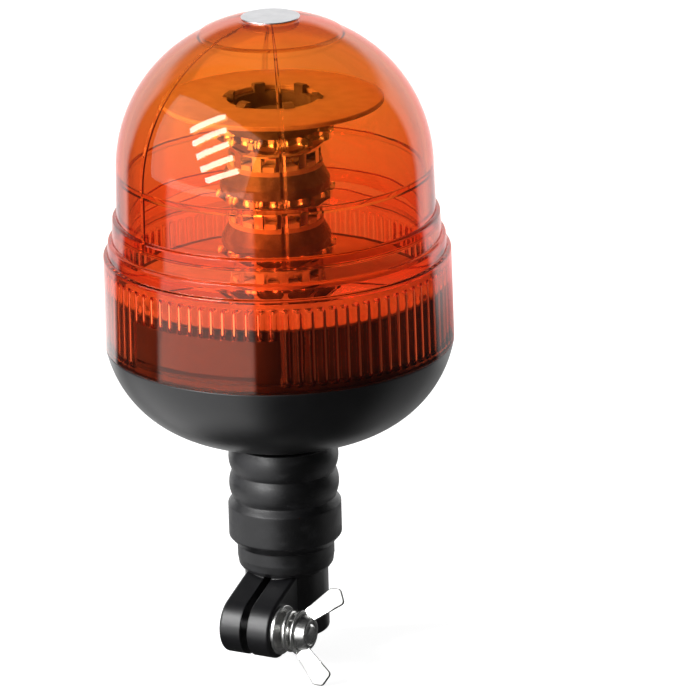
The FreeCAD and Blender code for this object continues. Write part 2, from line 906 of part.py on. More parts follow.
def tower_screws():
    grip = deck_thickness + core_foot - push_clearance
    return screws_on(tower_screw_circle, deck_bottom, tower_screws_count, grip, downwards=False)


def led_board(level):
    bottom = level - led_board_thickness
    board = ring(core_radius + push_clearance, led_board_radius, bottom, level)
    return board.cut(link_pin_holes(bottom, level))


def leds(level):
    package = block(led_side, led_side, led_height, led_circle, 0, level)
    return Part.makeCompound(copies(package, even_angles(leds_per_tier, led_first_angle)))


def reflector(level):
    """A waisted ring with a window over each LED and a round scoop above it."""
    top = level + reflector_height
    waist_top = level + reflector_waist_height
    rim_bottom = top - reflector_rim
    flare = ((reflector_waist + reflector_flange) / 2 - reflector_rim / 3, (waist_top + rim_bottom) / 2)
    body = turned(
        (core_radius + push_clearance, level),
        (reflector_waist, level),
        (reflector_waist, waist_top),
        (flare, (reflector_flange, rim_bottom)),
        (reflector_flange, top),
        (core_radius + push_clearance, top),
    )
    reach = reflector_flange - led_circle + led_window_width / 2
    window = block(reach, led_window_width, led_window_height,
                   led_circle - led_window_width / 2 + reach / 2, 0, level)
    centre = FreeCAD.Vector(reflector_flange - scoop_inset, 0, top - scoop_drop)
    scoop = Part.makeSphere(scoop_radius, centre)
    cuts = []
    for shape in (window, scoop):
        cuts += copies(shape, even_angles(leds_per_tier, led_first_angle))
    return body.cut(cuts + link_pin_holes(level, top))


def spacer(level):
    """Dark ring between two tiers: a straight band below and a cone up to the next LED board."""
    bottom = level - tier_pitch + reflector_height
    top = level - led_board_thickness
    body = turned(
        (core_radius + push_clearance, bottom),
        (spacer_radius, bottom),
        (spacer_radius, bottom + spacer_band),
        (led_board_radius, top),
        (core_radius + push_clearance, top),
    )
    return body.cut(link_pin_holes(bottom, top))


def tower_disc():
    return ring(disc_hole, disc_radius, disc_bottom, disc_top)


def disc_clip_ring():
    """Cup that stands on the tower, with a seat under the disc and hooks that snap over its hole."""
    wall_outer = disc_hole - push_clearance
    wall_inner = wall_outer - clip_wall
    seat = wall_outer + clip_seat_width
    floor_top = stack_top + clip_foot
    cup = turned(
        (core_radius + push_clearance, stack_top),
        (wall_outer, stack_top),
        (wall_outer, disc_bottom - 2 * clip_seat_thickness),
        (seat, disc_bottom - clip_seat_thickness),
        (seat, disc_bottom),
        (wall_inner, disc_bottom),
        (wall_inner, floor_top),
        (core_radius + push_clearance, floor_top),
    )
    barb_bottom = disc_top + push_clearance
    hook_face = math.sqrt(wall_outer ** 2 - (hook_width / 2) ** 2)
    hook = outline(
        (wall_inner, disc_bottom - clip_seat_thickness),
        (hook_face, disc_bottom - clip_seat_thickness),
        (hook_face, barb_bottom),
        (wall_outer + hook_barb, barb_bottom),
        (hook_face, barb_bottom + hook_height),
        (wall_inner, barb_bottom + hook_height),
        place=lambda r, z: FreeCAD.Vector(r, -hook_width / 2, z),
    ).extrude(across * hook_width)
    hooks = copies(hook, even_angles(hook_count, hook_first_angle))
    return cup.fuse(hooks).removeSplitter()


def core_cap():
    stem_radius_in_core = core_bore - push_clearance
    return turned(
        (0, core_top - cap_stem),
        (stem_radius_in_core, core_top - cap_stem),
        (stem_radius_in_core, core_top),
        (cap_radius, core_top),
        (cap_radius, cap_top - dome_shoulder),
        (cap_radius - dome_shoulder, cap_top),
        (0, cap_top),
    )


def pieces():
    made = {
        "clamp_socket": clamp_socket(),
        "clamp_bolt": clamp_bolt(),
        "clamp_washer": bolt_washer(clamp_washer_diameter, clamp_washer_thickness, ear_face),
        "clamp_spring": clamp_spring(),
        "nut_washer": bolt_washer(nut_washer_diameter, nut_washer_thickness, nut_washer_start),
        "wing_nut": wing_nut(),
        "contact_carrier": contact_carrier(),
        "contact_pin": contact_pin(),
        "contact_spring": contact_spring(),
        "contact_tag": contact_tag(),
        "earth_ring": earth_ring(),
        "positive_lead": positive_lead(),
        "earth_lead": earth_lead(),
        "rubber_boot": rubber_boot(),
        "stalk_stem": stalk_stem(),
        "stem_washer": stem_washer(),
        "stem_nut": stem_nut(),
        "base_bowl": base_bowl(),
        "driver_board": driver_board(),
        "driver_components": driver_components(),
        "board_screws": board_screws(),
        "tower_lead": tower_lead(),
        "link_pins": link_pins(),
        "dome_seal": dome_seal(),
        "dome_lens": dome_lens(),
        "top_foil": top_foil(),
        "deck_plate": deck_plate(),
        "deck_screws": deck_screws(),
        "tower_core": tower_core(),
        "tower_screws": tower_screws(),
        "tower_disc": tower_disc(),
        "disc_clip_ring": disc_clip_ring(),
        "core_cap": core_cap(),
    }
    for tier, level in zip(tier_names, led_levels):
        made["led_board_" + tier] = led_board(level)
        made["leds_" + tier] = leds(level)
        made["reflector_" + tier] = reflector(level)
        if level > led_levels[0]:
            made["spacer_" + tier] = spacer(level)
    return made


os.makedirs("parts", exist_ok=True)
for name, shape in pieces().items():
    shape.exportStep(os.path.join("parts", name + ".step"))
    print(name, len(shape.Solids), "solids,", round(shape.Volume), "mm3")
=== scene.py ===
# %% [markdown]
# # A flashing warning light
#
# The part is an amber beacon on a flexible stalk. Its solids come from CAD and stay the fixed
# frame: they say where each piece is and what it moves with. This lesson dresses them. The pieces
# that catch the eye are modelled again in Blender with soft edges, moulding marks and wear, and
# every other solid keeps its CAD shape and gets a finish of its own.

# %% Load the frame
import json
import math

import bmesh
import bpy
from mathutils import Matrix, Vector


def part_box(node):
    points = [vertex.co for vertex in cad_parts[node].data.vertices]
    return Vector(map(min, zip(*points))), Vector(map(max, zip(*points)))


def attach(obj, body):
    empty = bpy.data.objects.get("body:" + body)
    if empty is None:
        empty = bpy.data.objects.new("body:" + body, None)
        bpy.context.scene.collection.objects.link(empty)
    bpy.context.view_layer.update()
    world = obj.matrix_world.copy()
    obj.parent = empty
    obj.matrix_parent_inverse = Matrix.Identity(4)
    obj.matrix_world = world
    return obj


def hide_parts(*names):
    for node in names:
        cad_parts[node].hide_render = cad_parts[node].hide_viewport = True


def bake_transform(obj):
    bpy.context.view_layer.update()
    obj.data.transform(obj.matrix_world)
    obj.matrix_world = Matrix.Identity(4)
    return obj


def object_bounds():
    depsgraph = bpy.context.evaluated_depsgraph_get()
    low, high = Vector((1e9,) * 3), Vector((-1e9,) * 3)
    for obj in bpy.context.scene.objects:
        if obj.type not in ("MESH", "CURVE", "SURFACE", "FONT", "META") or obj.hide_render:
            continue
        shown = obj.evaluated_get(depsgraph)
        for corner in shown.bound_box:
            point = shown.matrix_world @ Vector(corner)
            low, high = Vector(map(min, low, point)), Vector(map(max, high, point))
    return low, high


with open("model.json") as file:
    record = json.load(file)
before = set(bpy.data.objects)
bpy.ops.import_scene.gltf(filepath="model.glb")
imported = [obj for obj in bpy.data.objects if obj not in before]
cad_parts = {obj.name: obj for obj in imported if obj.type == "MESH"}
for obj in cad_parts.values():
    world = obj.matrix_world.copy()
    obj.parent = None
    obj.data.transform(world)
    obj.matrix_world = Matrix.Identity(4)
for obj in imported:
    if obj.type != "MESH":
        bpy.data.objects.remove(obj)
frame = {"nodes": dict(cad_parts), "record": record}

mm = 0.001
cad_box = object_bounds()
nodes = frame["nodes"]
print("solids:", len(nodes), "box:", [round(v, 4) for corner in cad_box for v in corner])

# %% [markdown]
# ## The camera
#
# A product photographer stands well back with a long lens, so that the skirt and the clamp keep
# their proportions. The camera looks from two metres away, 28 degrees round to the wing nut's
# side and 18 degrees down, and leans a little. It is aimed beside the lamp, because the lamp
# stands left of the middle of the picture. Aiming it there needs no lens shift.

# %% Directions of the camera
view_turn, view_height, view_lean = math.radians(28.0), math.radians(18.0), math.radians(1.7)

level_right = Vector((math.cos(view_turn), math.sin(view_turn), 0.0))
toward_camera = Vector((math.cos(view_height) * math.sin(view_turn),
                        -math.cos(view_height) * math.cos(view_turn), math.sin(view_height)))
level_up = toward_camera.cross(level_right)
right = level_right * math.cos(view_lean) - level_up * math.sin(view_lean)
upward = level_right * math.sin(view_lean) + level_up * math.cos(view_lean)
print("towards the camera:", [round(v, 3) for v in toward_camera])


# %% Place the camera
def deselect():
    """Leave edit mode and select nothing, so that the next operator acts on its own piece alone."""
    if bpy.context.object and bpy.context.object.mode == "EDIT":
        bpy.ops.object.mode_set(mode="OBJECT")
    bpy.ops.object.select_all(action="DESELECT")


view_distance = 2.0
lamp_middle = Vector((0.0, 0.0, 124.6 * mm))
aim_right, aim_below = 26.0 * mm, 15.5 * mm
picture_width, pixels_per_metre = 700, 2730.0

deselect()
bpy.ops.object.camera_add(location=lamp_middle + toward_camera * view_distance)
camera = bpy.context.object
away = (camera.location - lamp_middle - right * aim_right + upward * aim_below).normalized()
across = upward.cross(away).normalized()
camera.rotation_euler = Matrix((across, away.cross(across), away)).transposed().to_euler()
camera.data.sensor_width = 36.0
camera.data.lens = camera.data.sensor_width * pixels_per_metre * view_distance / picture_width
camera.data.clip_end = 30.0
bpy.context.scene.camera = camera
print("camera at", [round(v, 3) for v in camera.location], "lens", round(camera.data.lens, 1))

# %% [markdown]
# ## Shader maths as plain expressions
#
# A finish is a small network of nodes. Linking them one by one hides the idea, so one class wraps
# a node's output: arithmetic on it adds Math nodes, and its node method adds any other kind.
# A finish then reads like the sentence that describes it.


# %% A socket that can be added and multiplied
class Wire:
    """An output socket in a node tree. Arithmetic on it adds Math nodes."""

    def __init__(self, tree, socket=None):
        self.tree = tree
        self.socket = socket

    def node(self, kind, settings={}, sockets={}, output=0):
        """Add a node, change its settings, then fill or link its sockets."""
        made = self.tree.nodes.new("ShaderNode" + kind)
        for name, value in settings.items():
            setattr(made, name, value)
        for name, value in sockets.items():
            if isinstance(value, Wire):
                self.tree.links.new(value.socket, made.inputs[name])
            else:
                made.inputs[name].default_value = value
        return Wire(self.tree, made.outputs[output] if made.outputs else None)

    def math(self, operation, first, second=0.0):
        return self.node("Math", {"operation": operation}, {0: first, 1: second})

    def __add__(self, other):
        return self.math("ADD", self, other)

    def __sub__(self, other):
        return self.math("SUBTRACT", self, other)

    def __rsub__(self, other):
        return self.math("SUBTRACT", other, self)

    def __mul__(self, other):
        return self.math("MULTIPLY", self, other)

    def __pow__(self, other):
        return self.math("POWER", self, other)

    __radd__ = __add__
    __rmul__ = __mul__

    def rise(self, low, high):
        """0 below low, 1 above high, and smooth between them."""
        return self.node("MapRange", {"interpolation_type": "SMOOTHSTEP"},
                         {"Value": self, "From Min": low, "From Max": high})

    def tint(self, dark, light):
        """A colour from dark at 0 to light at 1. A Mix node's sockets 6 and 7 are its colours."""
        return self.node("Mix", {"data_type": "RGBA"},
                         {0: self, 6: (*dark, 1.0), 7: (*light, 1.0)}, output=2)

    def noise(self, size, detail=3.0, stretch=(1.0, 1.0, 1.0)):
        """Cloudy values about 0.5 on this place, whose lumps are about size across."""
        place = self.node("Mapping", {}, {"Vector": self, "Scale": stretch})
        return self.node("TexNoise", {}, {"Vector": place, "Scale": 1.0 / size, "Detail": detail})

    def bump(self, depth, **more):
        """A normal from these heights, whose full range is depth in metres."""
        return self.node("Bump", {}, {"Height": self, "Distance": depth, **more})

    def vector(self, operation, other):
        """A vector operation on this vector and another."""
        return self.node("VectorMath", {"operation": operation}, {0: self, 1: other})

    def dot(self, other):
        return self.node("VectorMath", {"operation": "DOT_PRODUCT"}, {0: self, 1: other},
                         output="Value")

    def along(self, axis):
        """This place's coordinate on the axis X, Y or Z."""
        return self.node("SeparateXYZ", {}, {0: self}, output=axis)

    def ray(self, kind):
        """1 for rays of one kind, such as Camera or Shadow."""
        return self.node("LightPath", output=f"Is {kind} Ray")


print("a wire can", [name for name in vars(Wire) if not name.startswith("_")])

# %% Start and end of a finish
finishes = {}


def new_finish(name):
    """Keep an empty material under a name. Gives its wires and the place on a piece in metres."""
    material = finishes[name] = bpy.data.materials.new(name)
    material.use_nodes = True
    material.node_tree.nodes.clear()
    wires = Wire(material.node_tree)
    return wires, wires.node("TexCoord", output="Object")


def principled(wires, **sockets):
    """A Principled shader, whose sockets are named with _ for a space."""
    named = {name.replace("_", " "): value for name, value in sockets.items()}
    return wires.node("BsdfPrincipled", {}, named)


def end_finish(name, wires, **shaders):
    """Feed the shaders to the output, and say how many nodes the finish took."""
    wires.node("OutputMaterial", {}, shaders)
    print("finish", name, "of", len(wires.tree.nodes), "nodes")


# %% [markdown]
# ## The studio
#
# The lamp stands on a white table. A glossy dome shows the whole room, so the room is part of its
# look: a softbox with five bright tubes at the left, a white wall behind, a white card and a paler
# sheet on the table at the front left, and darkness elsewhere. Only mirrored and refracted rays see
# these. Matt surfaces get their light from the room's faint glow and from a window at the left. Where
# its light falls at a slant a colour renders about as it is written, where it falls straight almost
# twice as bright, and on the far side much darker. The camera sees a plain white table, which takes
# the lamp's shadow.

# %% The table
floor_gap, table_size = 0.2 * mm, 9.0
floor_height = cad_box[0][2] - floor_gap
deselect()
bpy.ops.mesh.primitive_plane_add(size=table_size, location=(0.0, 0.0, floor_height))
table = bpy.context.object
table.name = "table"
print("table at", round(floor_height, 5))

# %% Angles round the lamp
level_toward = Vector((toward_camera.x, toward_camera.y, 0.0)).normalized()


def angle_left(place):
    """The angle of a place to the camera's left, seen from above, in radians."""
    return place.math("ARCTAN2", place.dot(-level_right), place.dot(level_toward))


def between(angle, low, high, soft):
    """1 where the angle lies between two angles in degrees, with soft borders."""
    low, high, soft = math.radians(low), math.radians(high), math.radians(soft)
    return angle.rise(low - soft, low + soft) * (1.0 - angle.rise(high - soft, high + soft))


def cards_seen(wires):
    """1 for a ray that a mirror or clear plastic has turned."""
    return wires.math("MAXIMUM", wires.ray("Glossy"), wires.ray("Transmission"))


print("the camera's left is", [round(v, 3) for v in -level_right])

# %% The wall behind
dark_room, bent_glow, bent_wall = 0.04, 0.06, 0.76
wall_left, wall_right = 1.5, 1.45
ends_from, left_from, right_from, past_behind = 85, 130, 119, 200


def white_behind(left, left_level, right_level):
    """How bright the white wall behind is at an angle to the left. Mirrored rays see its lit middle
    at a level for each half, and rays that clear plastic bends also see its ends."""
    through = left.ray("Transmission")
    wide = between(left.math("ABSOLUTE", left), ends_from, past_behind, 12)
    middle = (between(left, left_from, past_behind, 4) * left_level
              + between(0.0 - left, right_from, past_behind, 4) * right_level)
    return dark_room + through * (bent_glow + bent_wall * wide) + (1.0 - through) * middle


print("levels of the wall:", wall_left, wall_right)

# %% Card, sheet and wall on the table
wires, place = new_finish("white_table")
seen, through, turned = wires.ray("Camera"), wires.ray("Transmission"), cards_seen(wires)
left, aside, ahead = angle_left(place), place.dot(-level_right), place.dot(level_toward)
reach = (aside * aside + ahead * ahead) ** 0.5
card_level, sheet_left, sheet_right, pool_level = 1.5, 1.15, 0.28, 0.25

# The table round the lamp's foot, and a ring beyond it where it meets the wall.
near = 1.0 - reach.rise(0.24, 0.32)
near_wall = reach.rise(0.28, 0.36) - reach.rise(0.42, 0.55)
wall = white_behind(left, wall_left + 0.7 * near_wall - 0.75 * near,
                    wall_right - 0.9 * near_wall - 1.05 * near)

# The card stands beyond the sheet, and a pool of light lies behind the lamp. The sheet is dark
# within about 5 cm of the lamp's foot and fades in by 10 cm: a painted shadow of the lamp, which
# mirrored rays see.
card = card_level * between(left, 16, 82, 2) * (1.0 - near)
sheet_with_painted_shadow = near * reach.rise(0.05, 0.1) * (sheet_left * between(left, 18, 121, 5)
                                        + sheet_right * between(0.0 - left, 75, 121, 12))
pool = (aside.rise(-40 * mm, 20 * mm) * (1.0 - aside.rise(80 * mm, 95 * mm))
        * (0.0 - ahead).rise(0.1, 0.3))
level = wall + (1.0 + through) * card + (1.0 - through) * sheet_with_painted_shadow + pool_level * through * pool
print("cards of", len(wires.tree.nodes), "nodes")

# %% White for the camera, and clear from below
white = 0.9 + 0.1 * reach.rise(0.6, 1.4)
own_light = wires.node("Emission", {}, {"Strength": seen * white + turned * level})
matt = turned.tint((0.62, 0.62, 0.62), (0.0, 0.0, 0.0))
top = wires.node("AddShader", {}, {0: wires.node("BsdfDiffuse", {}, {"Color": matt}), 1: own_light})
from_below = wires.node("NewGeometry", output="Backfacing")
surface = wires.node("MixShader", {}, {0: from_below, 1: top, 2: wires.node("BsdfTransparent")})
end_finish("white_table", wires, Surface=surface)
table.data.materials.append(finishes["white_table"])

# %% The room
glow = 0.18
room = bpy.data.worlds.new("white_room")
bpy.context.scene.world = room
room.use_nodes = True
room.node_tree.nodes.clear()
wires = Wire(room.node_tree)
direction = wires.node("TexCoord", output=0)
overhead = direction.dot(Vector((0.0, 0.0, 1.0))).rise(0.3, 0.5)
dimmed = 1.0 - 0.9 * overhead * (1.0 - wires.ray("Transmission"))
level = white_behind(angle_left(direction), wall_left, wall_right) * dimmed
strength = glow + (1.0 - glow) * wires.ray("Camera") + cards_seen(wires) * (level - glow)
light = wires.node("Background", {}, {"Color": (1.0, 1.0, 1.0, 1.0), "Strength": strength})
wires.node("OutputWorld", {}, {"Surface": light})
print("room of", len(wires.tree.nodes), "nodes")


# %% Softbox, tubes and window
def lamp(name, left, above, distance, width, height, radiance, tilt=0.0):
    """A rectangle of light that faces the lamp's middle, at angles in degrees to the camera's left
    and above the level, turned by tilt in its own plane."""
    turn, lift = math.radians(left), math.radians(above)
    level = level_toward * math.cos(turn) - level_right * math.sin(turn)
    out = level * math.cos(lift) + Vector((0.0, 0.0, math.sin(lift)))
    deselect()
    bpy.ops.object.light_add(type="AREA", location=lamp_middle + out * distance)
    made = bpy.context.object
    made.name = name
    tilted = Matrix.Rotation(math.radians(tilt), 3, "Z").to_quaternion()
    made.rotation_euler = (out.to_track_quat("Z", "Y") @ tilted).to_euler()
    made.data.shape = "RECTANGLE"
    made.data.size, made.data.size_y = width, height
    made.data.energy = radiance * math.pi * width * height
    made.visible_camera = False
    return made


softbox = lamp("softbox", 60.0, 23.0, distance=1.2, width=2.1, height=1.25, radiance=1.5)
softbox.visible_diffuse = False
tubes = [(64.8, 40.4, 47.6), (56.9, 33.3, 41.7), (50.0, 25.3, 35.8), (44.0, 17.2, 29.9),
         (38.9, 9.5, 24.0)]
for count, (left, above, tilt) in enumerate(tubes):
    tube = lamp(f"tube_{count + 1}", left, above, distance=2.5, width=1.14, height=0.18,
                radiance=18.0, tilt=tilt)
    tube.visible_diffuse = False
window = lamp("window", 74.0, 22.0, distance=2.2, width=1.2, height=1.2, radiance=17.0)
window.visible_glossy = window.visible_transmission = False

# %% [markdown]
# ## Turning a profile
#
# Most pieces of the lamp are round, so they start as the wire of half a section. A plane merged to
# one point is that wire's first point, each extrude adds the next, and a Screw modifier turns it all
# the way round. The Spin tool would do the same, but with hundreds of steps it is far slower. Corners
# get small arcs first, because no moulded edge is truly sharp and a tiny round catches the light.


# %% Points of a profile
def arc(centre, radius, start, end, count):
    """Points (radius, height) round a centre, between two angles in degrees."""
    angles = [math.radians(start + (end - start) * step / count) for step in range(count + 1)]
    return [(centre[0] + radius * math.cos(a), centre[1] + radius * math.sin(a)) for a in angles]


def rounded(corners, steps=4):
    """The line through the corners, where a corner (r, z, rounding) becomes a small arc."""
    points = [Vector(corner[:2]) for corner in corners]
    line = []
    for index, corner in enumerate(corners):
        here = points[index]
        if len(corner) == 2 or index in (0, len(corners) - 1):
            line.append(tuple(here))
            continue
        before = (points[index - 1] - here).normalized()
        after = (points[index + 1] - here).normalized()
        half = before.angle(after) / 2
        cut = corner[2] / math.tan(half)
        centre = here + (before + after).normalized() * (corner[2] / math.sin(half))
        first = here + before * cut - centre
        sweep = first.angle_signed(here + after * cut - centre)
        for step in range(steps + 1):
            line.append(tuple(centre + Matrix.Rotation(-sweep * step / steps, 2) @ first))
    return line


print("one rounded corner:", len(rounded([(0, 0), (1, 0, 0.2), (1, 1)])) - 2, "points")


# %% Draw a profile
def draw_profile(name, points, closed):
    """A wire in the XZ plane through points in millimetres. It stays in edit mode."""
    deselect()
    bpy.ops.mesh.primitive_plane_add(size=mm)
    piece = bpy.context.object
    piece.name = piece.data.name = name
    bpy.ops.object.mode_set(mode="EDIT")
    bpy.ops.mesh.select_mode(type="VERT")
    bpy.ops.mesh.merge(type="CENTER")
    here = Vector((0.0, 0.0, 0.0))
    for count, (across, height) in enumerate(points):
        step = Vector((across, 0.0, height)) * mm - here
        if count == 0:
            bpy.ops.transform.translate(value=step)
        else:
            bpy.ops.mesh.extrude_region_move(TRANSFORM_OT_translate={"value": step})
        here += step
    if closed:
        outline = bmesh.from_edit_mesh(piece.data)
        outline.verts.ensure_lookup_table()
        for vertex in outline.verts:
            vertex.select_set(len(vertex.link_edges) < 2)
        outline.select_flush_mode()
        bpy.ops.mesh.edge_face_add()
    return piece


# %% Turn a profile
joined = 0.001 * mm


def turn(name, points, steps, closed=True):
    """A piece turned about the upright axis from a profile (radius, height) in millimetres."""
    piece = draw_profile(name, points, closed)
    bpy.ops.object.mode_set(mode="OBJECT")
    lathe = piece.modifiers.new("lathe", "SCREW")
    lathe.steps = lathe.render_steps = steps
    lathe.use_merge_vertices = True
    lathe.merge_threshold = joined
    bpy.ops.object.modifier_apply(modifier=lathe.name)
    bpy.ops.object.mode_set(mode="EDIT")
    bpy.ops.mesh.select_all(action="SELECT")
    bpy.ops.mesh.remove_doubles(threshold=joined)
    bpy.ops.mesh.normals_make_consistent(inside=False)
    bpy.ops.object.mode_set(mode="OBJECT")
    bpy.ops.object.shade_smooth_by_angle(angle=math.radians(35.0))
    print(name, len(piece.data.polygons), "faces")
    return piece


# %% [markdown]
# ## Amber lens
#
# The dome is clear tinted plastic. A coloured film on its surface would tint thin and thick places
# alike, but in tinted plastic the colour grows with the way that light travels inside: edges and
# ribs turn deep red while the plain wall stays orange. So the shader is glass with a pale tint and
# the body takes up blue and green light inside. Lamps shine straight through it, tinted at each face,
# which keeps the picture clean. At its outline a real dome lets out light that has run round inside its
# wall, so there a part of what lies behind shows through.

# %% Finish of the dome
wires, place = new_finish("amber_lens")
height, cloud = place.along("Z"), place.noise(18 * mm, 2.0)
# The tint grows paler from the skirt up to the crown, with a faint cloud.
paler_upwards = (0.4 * height.rise(146 * mm, 168 * mm) + 0.6 * height.rise(172 * mm, 222 * mm)
           + 0.15 * (cloud - 0.5))
glass = principled(
    wires, Base_Color=paler_upwards.tint((0.96, 0.42, 0.27), (0.97, 0.80, 0.34)),
    Transmission_Weight=1.0, IOR=1.52, Specular_Tint=(1.0, 0.86, 0.78, 1.0),
    Roughness=0.008 + 0.02 * place.noise(4 * mm), Normal=place.noise(9 * mm, 1.0).bump(0.02 * mm))
open_pane = wires.node("BsdfTransparent", {}, {"Color": (0.99, 0.84, 0.55, 1.0)})
red_pane = wires.node("BsdfTransparent", {}, {"Color": (0.98, 0.85, 0.70, 1.0)})
grazing = wires.node("LayerWeight", {}, {"Blend": 0.5}, output="Facing").rise(0.6, 0.8)
edge = wires.node("MixShader", {}, {0: 0.35 * grazing, 1: glass, 2: red_pane})
surface = wires.node("MixShader", {}, {0: wires.ray("Shadow"), 1: edge, 2: open_pane})
body = wires.node("VolumeAbsorption", {}, {"Color": (0.975, 0.46, 0.127, 1.0), "Density": 300.0})
end_finish("amber_lens", wires, Surface=surface, Volume=body)

# %% [markdown]
# ## The dome
#
# The dome is moulded in one piece: a skirt, two small terraces, a body, a round crown and a raised
# pad on top. Its walls could be made by thickening one surface, but the real inside has steps of its
# own, where a bead, the terraces and the skirt begin. So the section's outside and inside are drawn
# one after the other, as one closed line.

# %% Outside of the dome
crown_offset, crown_level = 2.3, 178.7
crown_centre = (crown_offset, crown_level)
outer_crown, inner_crown = 55.55, 52.55
skirt_foot = 112.6

outside = rounded([
    (61.0, skirt_foot), (64.0, skirt_foot, 0.3), (63.55, 147.6, 0.7), (62.1, 147.6, 0.35),
    (61.65, 152.9, 0.7), (60.2, 152.9, 0.35), (59.75, 161.7, 0.7), (58.3, 161.7, 0.5),
    (57.85, crown_level)], 3)
crown = arc(crown_centre, outer_crown, 2.5, 63.2, 16)
pad_foot = arc(crown_centre, outer_crown, 63.7, 63.7, 1)[0]
pad_arc = arc((crown_offset, 185.07), 50.26, 63.0, 80.38, 6)
pad = rounded([crown[-1], (*pad_foot, 0.5), (25.6, 229.6, 0.5), pad_arc[0]])[1:] + pad_arc[1:]
outside += crown + pad + [(0.0, 234.62)]
print("outside of the dome:", len(outside), "points")

# %% Inside of the dome
body_wall, bead = 54.25, 53.5
inside = [(0.0, 231.25)] + arc(crown_centre, inner_crown, 90, 0.8, 18)
inside += rounded([
    inside[-1], (54.85, crown_level, 0.2), (bead, crown_level, 0.3), (bead, 177.2, 0.3),
    (body_wall, 176.4), (body_wall, 157.2, 0.4), (57.2, 157.2, 0.4), (57.65, 150.1, 0.4),
    (60.55, 145.6, 0.4), (60.58, 144.0)], 3)[1:-1]
# The rows of points that the flutes need inside the skirt, each with its share of their depth.
flute_rows = {144.0: 0.0, 143.6: 0.2, 143.2: 0.55, 142.6: 0.85, 141.8: 1.0,
              133.9: 1.0, 133.1: 1.0, 132.5: 1.0, 132.1: 1.0, 131.7: 1.0,
              118.8: 1.0, 118.2: 1.0, 116.4: 1.0, 115.6: 0.85, 115.0: 0.55, 114.6: 0.2, 114.2: 0.0}
inside += [(61.0 - 0.45 * (row - skirt_foot) / 33.0, row) for row in flute_rows]
print("dome profile:", len(outside) + len(inside), "points")

# %% Turn the dome
columns = 720
dome = turn("amber_dome", outside + inside, columns)

# %% [markdown]
# ## Flutes of the skirt
#
# Upright grooves inside the skirt spread the light sideways. Cutting ninety of them with a boolean
# would leave rough faces, so the wall's own points are moved: eight columns of points make one
# groove, and a resize about the axis pushes its middle columns outwards. The rows at a groove's ends
# go less far, so that it runs out round. In front a plain sunk window takes the place of the lower
# half.


# %% Pick points of a piece
def activate(piece):
    """Select this piece alone."""
    deselect()
    piece.select_set(True)
    bpy.context.view_layer.objects.active = piece


def pick(piece, test):
    """In edit mode, select only the points that pass the test. Says how many there are."""
    bpy.ops.mesh.select_mode(type="VERT")
    bpy.ops.mesh.select_all(action="DESELECT")
    mesh = bmesh.from_edit_mesh(piece.data)
    chosen = [vertex for vertex in mesh.verts if test(vertex.co)]
    for vertex in chosen:
        vertex.select_set(True)
    mesh.select_flush_mode()
    bmesh.update_edit_mesh(piece.data)
    return len(chosen)


def from_axis(point):
    """A point's distance from the upright axis in millimetres."""
    return math.hypot(point.x, point.y) / mm


def column_of(point):
    return round(math.degrees(math.atan2(point.y, point.x)) * columns / 360)


activate(dome)
bpy.ops.object.mode_set(mode="EDIT")
print("points inside the skirt:",
      pick(dome, lambda point: 60.0 < from_axis(point) < 61.1 and point.z < 144.1 * mm))

# %% Push the grooves out
per_flute, flute_depth = 8, 1.3
flute_shape = {0: 1.0, 1: 0.85, 2: 0.5, 3: 0.15}
window_angle, window_half, window_depth = -90.0, 27.0, 0.5
window_top, window_low, window_high = 133.5, 118.5, 132.0
window_rows = {133.1: 0.85, 132.5: 0.55, 132.1: 0.2}


def groove(point):
    """How deep the wall is cut at a point of the dome, in millimetres."""
    row = min(flute_rows, key=lambda height: abs(height - point.z / mm))
    if not 60.0 < from_axis(point) < 61.1 or abs(row - point.z / mm) > 0.05:
        return 0.0
    column = column_of(point)
    beside = (column + per_flute // 2) % per_flute - per_flute // 2
    middle = (column - beside) * 360 / columns
    share = flute_rows[row]
    if abs(middle - window_angle) < window_half and row < window_top:
        if window_low < row < window_high:
            return window_depth
        share = window_rows.get(row, 0.0)
    return round(flute_depth * share * flute_shape.get(abs(beside), 0.0), 3)


skirt_radius = 60.8
depths = sorted({groove(vertex.co) for vertex in bmesh.from_edit_mesh(dome.data).verts} - {0.0})
for depth in depths:
    pick(dome, lambda point: groove(point) == depth)
    swell = (skirt_radius + depth) / skirt_radius
    bpy.ops.transform.resize(value=(swell, swell, 1.0), center_override=(0.0, 0.0, 0.0))
print("groove depths:", depths)

# %% [markdown]
# ## Mould seams
#
# The core of the dome's mould comes out in parts. Each joint between them leaves a fine rib inside
# the dome, from the crown to the skirt: in front, behind and at the left. Drawn lines would not bend
# light as a rib does, so three columns of points are pulled inwards for each.

# %% Pull the ribs in
seams, rib_height = (-118, 242, -240), 0.4
crown_middle = (0.0, 0.0, crown_level * mm)


def on_seam(point):
    half = columns // 2
    return any(abs((column_of(point) - seam + half) % columns - half) <= 1 for seam in seams)


def on_inner_wall(point):
    on_wall = abs(from_axis(point) - body_wall) < 0.25 and point.z < (crown_level + 0.1) * mm
    return on_wall and on_seam(point)


def on_inner_crown(point):
    out, up = from_axis(point) - crown_offset, point.z / mm - crown_level
    return up > 0.2 and abs(math.hypot(out, up) - inner_crown) < 0.15 and on_seam(point)


shrink = 1.0 - rib_height / 54.0
moved = pick(dome, on_inner_wall)
bpy.ops.transform.resize(value=(shrink, shrink, 1.0), center_override=crown_middle)
moved += pick(dome, on_inner_crown)
bpy.ops.transform.resize(value=(shrink, shrink, shrink), center_override=crown_middle)
bpy.ops.object.mode_set(mode="OBJECT")
print("seam points:", moved)

# %% [markdown]
# ## Handing a piece over
#
# A shaped piece still needs its shading, its finish and its body. Smooth shading alone would make
# flat faces look swollen beside small rounds, so the large faces keep their own normals. The solids
# that the piece stands for are then hidden, and the piece is hung on the body that it rides on.


# %% Hand the dome over
def weigh_normals(piece):
    """Let the large faces keep their own normals, so that only the small rounds shade."""
    activate(piece)
    weighted = piece.modifiers.new("weigh", "WEIGHTED_NORMAL")
    weighted.keep_sharp = True
    bpy.ops.object.modifier_apply(modifier=weighted.name)


